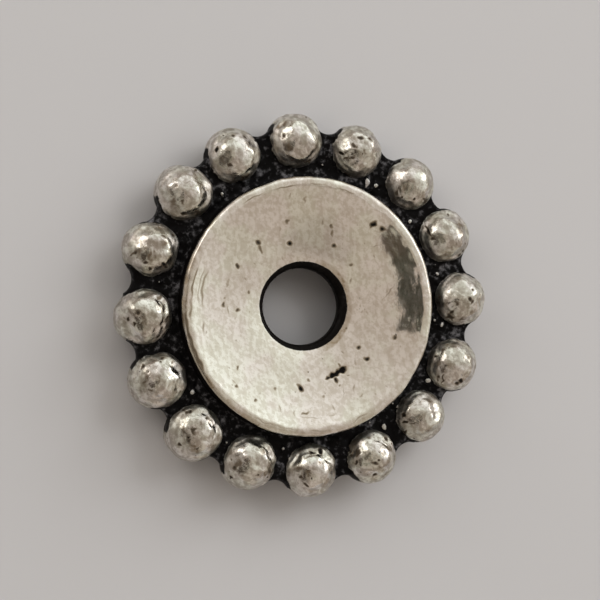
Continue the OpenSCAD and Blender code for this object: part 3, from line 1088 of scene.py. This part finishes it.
def makeFloor():
    # One flat square at the height of the bead's lower lip
    half, z = studio["floorSize"] / 2, cadLow.z / mm
    material = nodeMaterial("paleSheet", floorLook)[0]
    stageSheet("floor", [(-half, -half, z), (half, -half, z), (half, half, z), (-half, half, z)], material)


def makeLamps():
    # Rectangles that face the origin: a lamp's power is its radiance times pi times its area
    for name, heading, distance, width, height, radiance, colour, mirrored in lamps:
        away = Vector(heading).normalized()
        light = bpy.data.lights.new(name, "AREA")
        light.shape = "RECTANGLE"
        light.size, light.size_y = width * mm, height * mm
        light.energy = radiance * math.pi * width * height * mm * mm
        light.color = colour
        lamp = bpy.data.objects.new(name, light)
        lamp.location = away * distance * mm
        lamp.rotation_euler = away.to_track_quat("Z", "Y").to_euler()
        lamp.visible_camera = False
        lamp.visible_glossy = mirrored
        bpy.context.scene.collection.objects.link(lamp)


def makeSky():
    # Grey all round and dimmer on the shaded side, plus a soft round glow, each by the angle to its middle
    world = bpy.data.worlds.new("softSky")
    world.use_nodes = True
    tree = world.node_tree
    tree.nodes.clear()
    heading = addNode(tree, "TexCoord").outputs["Generated"]

    def near(part):
        # 1 within the part's full angle of its heading, 0 past its edge
        toward = tuple(Vector(studio[part + "Heading"]).normalized())
        cosine = vectorNode(tree, "DOT_PRODUCT", heading, toward, "Value")
        full, edge = math.radians(studio[part + "Full"]), math.radians(studio[part + "Edge"])
        return remap(tree, cosine, math.cos(edge), math.cos(full))

    total = mixColour(tree, near("shade"), studio["roomLight"], studio["shadeLight"])
    glow = times(tree, near("glow"), near("open"))
    total = mixColour(tree, glow, total, studio["glowLight"], "ADD")
    total = mixColour(tree, near("dim"), total, studio["dimTo"], "MULTIPLY")
    background = addNode(tree, "Background", {"Color": total, "Strength": 1.0})
    addNode(tree, "OutputWorld", {"Surface": background.outputs[0]})
    bpy.context.scene.world = world


# Dark card beside the camera, seen only as a reflection: a span is where a soft step starts and ends, in mm
cardShape = dict(
    height=105.0, patches=0.30, patchReach=8.0,
    brown=(0.150, 0.122, 0.098, 1), brownSpan=(-20.0, -18.4), tailSpan=(-20.0, -30.0),
    olive=(0.200, 0.195, 0.168, 1), moss=(0.075, 0.077, 0.060, 1),
    streak=(0.42, 0.09, 0), streakShows=(0.42, 0.58),
    tip=(0.80, 0.79, 0.70, 1), tipSpan=(-49.5, -54.0), far=(0.085, 0.062, 0.047, 1), farSpan=(-42.0, -60.0),
    gap=(0.31, 0.28, 0.245, 1), gapMiddle=-88.0, gapSpan=(16.0, 8.0), gapWaver=60.0, gapPatches=0.022,
    blotches=0.030, blotchShows=(0.51, 0.60),
    spotPlace=(-25.3, 7.9), ringSpan=(4.0, 3.2), spotSpan=(2.3, 1.15), spot=(0.95, 0.96, 0.88, 1),
    top=13.4, left=-172.0, raggedEdge=40.0, torn=0.045, tornFrom=0.38, tornReach=5.0, tornSoft=0.04,
)
cardCorners = [
    (-19.3, 13.4), (-20.1, 7.7), (-21.2, 2.8), (-21.2, -0.8), (-19.9, -2.6), (-19.7, -6.2), (-20.8, -7.6),
    (-20.7, -17.8), (-19.3, -19.8), (-17.3, -19.6), (-16.9, -25.4), (-13.6, -31.8), (-10.8, -34.0),
    (-8.8, -38.8), (-8.4, -46.0), (-14.0, -52.0), (-24.0, -48.0), (-32.0, -42.0),
    (-56, -88), (-110, -114), (-170, -130), (-175, -20), (-170, 13.4),
]


def cardTone(tree, place, across, upward, away):
    # Streaks of moss and olive under the other patches, each laid over those before it
    s = cardShape
    texture = dict(detail=3.0, roughness=0.6)
    shift = swing(tree, noise(tree, place, s["patches"], **texture), s["patchReach"])
    inner = remap(tree, plus(tree, across, shift), *s["brownSpan"])
    tail = remap(tree, plus(tree, upward, shift), *s["tailSpan"])
    tip = remap(tree, plus(tree, across, upward, shift), *s["tipSpan"])
    waver = swing(tree, noise(tree, place, s["gapPatches"], **texture), s["gapWaver"])
    apart = mathNode(tree, "ABSOLUTE", minus(tree, plus(tree, across, waver), s["gapMiddle"]))
    blotch = remap(tree, noise(tree, place, s["blotches"], **texture), *s["blotchShows"])
    gap = larger(tree, remap(tree, apart, *s["gapSpan"]), times(tree, blotch, away))
    apart = vectorNode(tree, "DISTANCE", place, (*s["spotPlace"], s["height"]), "Value")
    ring, spot = remap(tree, apart, *s["ringSpan"]), remap(tree, apart, *s["spotSpan"])
    drawn = vectorNode(tree, "MULTIPLY", place, s["streak"])
    streak = remap(tree, noise(tree, drawn, 1.0, **texture), *s["streakShows"])
    tone = mixColour(tree, streak, s["moss"], s["olive"])
    patches = dict(brown=larger(tree, inner, tail), tip=tip, far=away, gap=gap, moss=ring, spot=spot)
    for colour, share in patches.items():
        tone = mixColour(tree, share, tone, s[colour])
    return tone


def makeCard():
    # A flat card in patches of colour, torn along its far edges, which no camera sees
    s = cardShape
    material, shader = nodeMaterial("cardPatches", {"Specular IOR Level": 0.0})
    tree = material.node_tree
    place = objectPlace(tree)
    across, upward = addNode(tree, "SeparateXYZ", {0: place}).outputs[:2]
    away = remap(tree, across, *s["farSpan"])
    tree.links.new(cardTone(tree, place, across, upward, away), shader.inputs["Base Color"])
    # How far inside the corners, in units of raggedEdge, with noise taken off
    fromTop, fromLeft = minus(tree, s["top"], upward), plus(tree, across, -s["left"])
    inside = mathNode(tree, "DIVIDE", mathNode(tree, "MINIMUM", fromTop, fromLeft), s["raggedEdge"])
    torn = minus(tree, noise(tree, place, s["torn"], detail=3.0, roughness=0.6), s["tornFrom"])
    torn = times(tree, torn, times(tree, away, s["tornReach"]))
    there = remap(tree, minus(tree, inside, torn), 0.0, s["tornSoft"])
    tree.links.new(there, shader.inputs["Alpha"])
    stageSheet("darkCard", [(x, y, s["height"]) for x, y in cardCorners], material, seen=False)


def makeFlags():
    # Round black flags overhead, which no camera and no metal sees
    turn = fullTurn(flagCorners)
    material = nodeMaterial("flagCloth", flagLook)[0]
    for name, (x, y, z), radius in flags:
        rim = np.stack([x + radius * np.cos(turn), y + radius * np.sin(turn), z + 0 * turn], axis=1)
        stageSheet(name, rim, material, seen=False, mirrored=False)


def makeCamera():
    # Looks at the origin along the shared view
    s = cameraShape
    right, up, away = (Vector(axis) for axis in viewAxes())
    data = bpy.data.cameras.new("camera")
    data.lens, data.sensor_width = s["lens"], s["sensor"]
    data.shift_x, data.shift_y = s["shiftRight"], s["shiftUp"]
    data.clip_start, data.clip_end = s["nearest"] * mm, s["farthest"] * mm
    camera = bpy.data.objects.new("camera", data)
    place = Matrix.Translation(away * s["distance"] * mm)
    camera.matrix_world = place @ Matrix((right, up, away)).transposed().to_4x4()
    bpy.context.scene.collection.objects.link(camera)
    bpy.context.scene.camera = camera


makeFloor()
makeLamps()
makeSky()
makeCard()
makeFlags()
makeCamera()
bpy.context.scene.view_settings.view_transform = "Standard"
print("studio ready")
